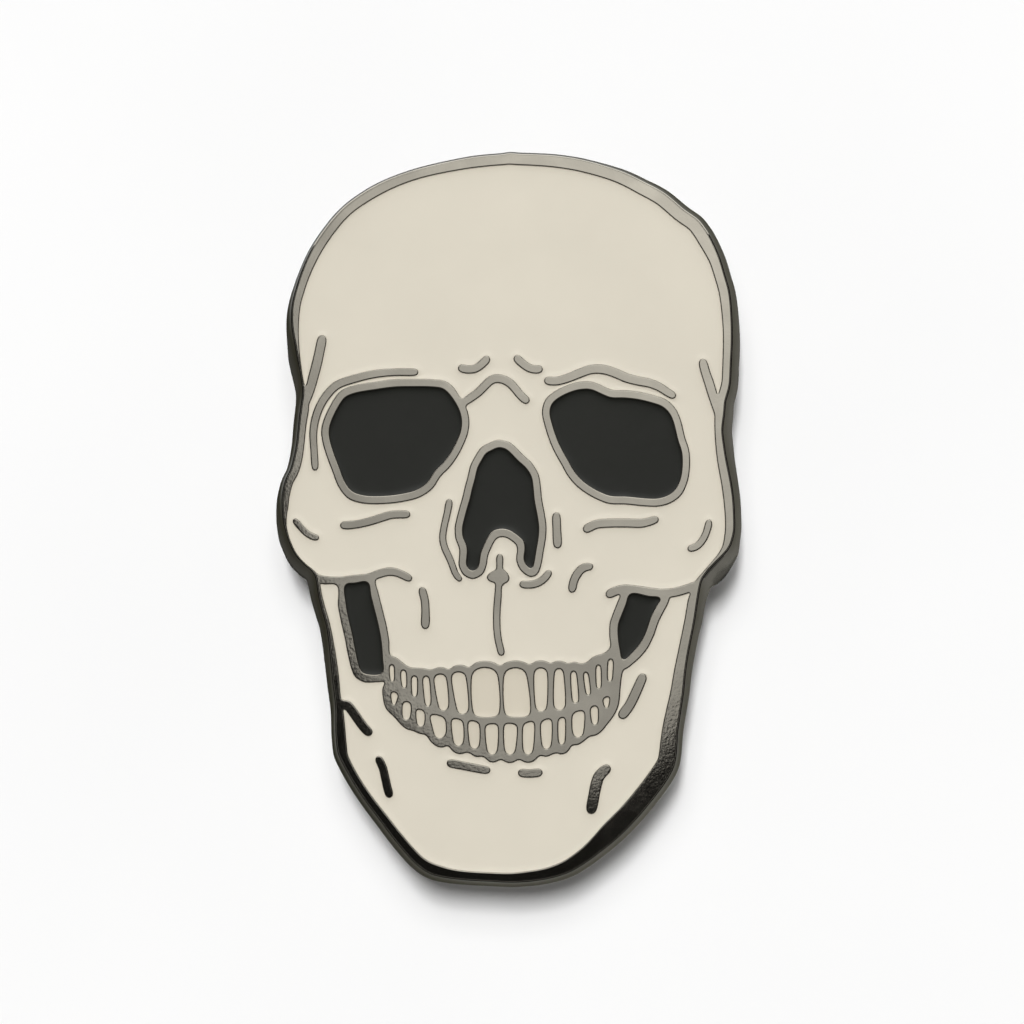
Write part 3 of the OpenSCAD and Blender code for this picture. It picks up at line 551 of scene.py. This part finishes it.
# ---------------------------------------------------------------- floor, light and camera
floor_mat, t, s = new_material("pale_floor")
t.links.new(ramp(t, noise(t, 30.0, 2), [(0.3, (0.88, 0.88, 0.88)), (0.7, (0.9, 0.9, 0.9))]),
            s.inputs["Base Color"])
s.inputs["Roughness"].default_value = 0.9
s.inputs["Specular IOR Level"].default_value = 0.1
HALF = 0.9                 # half the floor's side, in metres
floor_mesh = bpy.data.meshes.new("floor")
floor_mesh.from_pydata([(-HALF, -HALF, 0), (HALF, -HALF, 0), (HALF, HALF, 0), (-HALF, HALF, 0)], [],
                       [(0, 1, 2, 3)])
floor = bpy.data.objects.new("floor", floor_mesh)
bpy.context.scene.collection.objects.link(floor)
floor.location.z = cad_low.z - 0.00002
floor_mesh.materials.append(floor_mat)

# the skull's drawing is centred on this point of the top face
ring_low, ring_high = rings[0].min(0), rings[0].max(0)
art = (ring_low + ring_high) / 2 + np.array([0.1, -0.11])


def aim_axes(obj, back):
    """Turns an object so that its +Z points along back and its +Y points up the skull."""
    side_way = Vector((0, 1, 0)).cross(back).normalized()
    up_way = back.cross(side_way)
    obj.rotation_mode = "QUATERNION"
    obj.rotation_quaternion = Matrix((side_way, up_way, back)).transposed().to_quaternion()


CAMERA_FAR = 0.300         # metres from the top face
FRAME_HIGH = 52.8 * MM     # how much of the top face the picture spans
TILT_X, TILT_Y = math.radians(2.0), math.radians(-4.0)
aim = Vector(((art[0] + 0.103) * MM, (art[1] + 0.335) * MM, TOP_Z * MM))
away = Vector((math.tan(TILT_X), math.tan(TILT_Y), 1)).normalized()
camera = bpy.data.objects.new("camera", bpy.data.cameras.new("camera"))
bpy.context.scene.collection.objects.link(camera)
camera.location = aim + away * CAMERA_FAR
aim_axes(camera, away)
camera.data.sensor_width = 36
camera.data.lens = 36 * CAMERA_FAR / FRAME_HIGH
camera.data.clip_start, camera.data.clip_end = 0.01, 10
bpy.context.scene.camera = camera


def lamp(name, high, lean_x, lean_y, radiance, mirrored, shape="RECTANGLE"):
    """A level lamp, high metres above the pin. lean_x and lean_y are its edges, as tangents of
    the angle from straight up. A mirrored lamp is seen only in shiny surfaces, and any other
    lights only the matt ones. Each has its own height, so that none hides another."""
    obj = bpy.data.objects.new(name, bpy.data.lights.new(name, "AREA"))
    bpy.context.scene.collection.objects.link(obj)
    obj.location = Vector((sum(lean_x) / 2, sum(lean_y) / 2, 1)) * high
    obj.data.shape = shape
    obj.data.size = (lean_x[1] - lean_x[0]) * high
    obj.data.size_y = (lean_y[1] - lean_y[0]) * high
    area = obj.data.size * obj.data.size_y * (math.pi / 4 if shape == "ELLIPSE" else 1)
    obj.data.energy = radiance * math.pi * area
    obj.visible_camera = False
    obj.visible_glossy = mirrored
    obj.visible_diffuse = not mirrored


def mirrored_lean(x, y):
    """The lean of the direction that the top face mirrors to the camera at a point of the drawing."""
    return ((art[0] + x) * MM / CAMERA_FAR - math.tan(TILT_X),
            (art[1] + y) * MM / CAMERA_FAR - math.tan(TILT_Y))


lamp("key_narrow", 3.0, (-0.03, 0.03), (0.02, 0.19), 201.0, False)
lamp("key_wide", 2.9, (-0.15, 0.16), (0.04, 0.35), 11.5, False)
low, high = mirrored_lean(-15.0, -16.4), mirrored_lean(18.5, 46.0)
lamp("softbox", 2.0, (low[0], high[0]), (low[1], high[1]), 1.75, True, "ELLIPSE")
lamp("back_panel", 2.5, (-0.6, 0.6), (0.28, 2.6), 4.0, True)

# a dim room with pale walls, and a pale backdrop behind everything
world = bpy.data.worlds.new("studio")
bpy.context.scene.world = world
world.use_nodes = True
wt = world.node_tree
wt.nodes.clear()
coord = node(wt, "ShaderNodeTexCoord")
split = node(wt, "ShaderNodeSeparateXYZ")
wt.links.new(coord.outputs["Generated"], split.inputs[0])
room = remap(wt, split.outputs[2], 0.3, 0.6, 0.5, 0.04)
glow_at = Vector((*mirrored_lean(20, 30), 1)).normalized()
glow_off = node(wt, "ShaderNodeVectorMath", operation="DISTANCE")
wt.links.new(coord.outputs["Generated"], glow_off.inputs[0])
glow_off.inputs[1].default_value = glow_at
glow = remap(wt, glow_off.outputs["Value"], 0.0, 40 * MM / CAMERA_FAR, 2.9, 0.0)
lit_room = node(wt, "ShaderNodeMath", operation="ADD")
wt.links.new(room, lit_room.inputs[0])
wt.links.new(glow, lit_room.inputs[1])
path = node(wt, "ShaderNodeLightPath")
shown = node(wt, "ShaderNodeMath", operation="MAXIMUM")
wt.links.new(path.outputs["Is Camera Ray"], shown.inputs[0])
wt.links.new(lit_room.outputs[0], shown.inputs[1])
backdrop = node(wt, "ShaderNodeBackground", Color=(1.0, 0.99, 0.97, 1))
wt.links.new(shown.outputs[0], backdrop.inputs["Strength"])
wt.links.new(backdrop.outputs[0], node(wt, "ShaderNodeOutputWorld").inputs[0])

bpy.context.scene.view_settings.view_transform = "Standard"
bpy.context.scene.view_settings.look = "None"

bpy.context.view_layer.update()
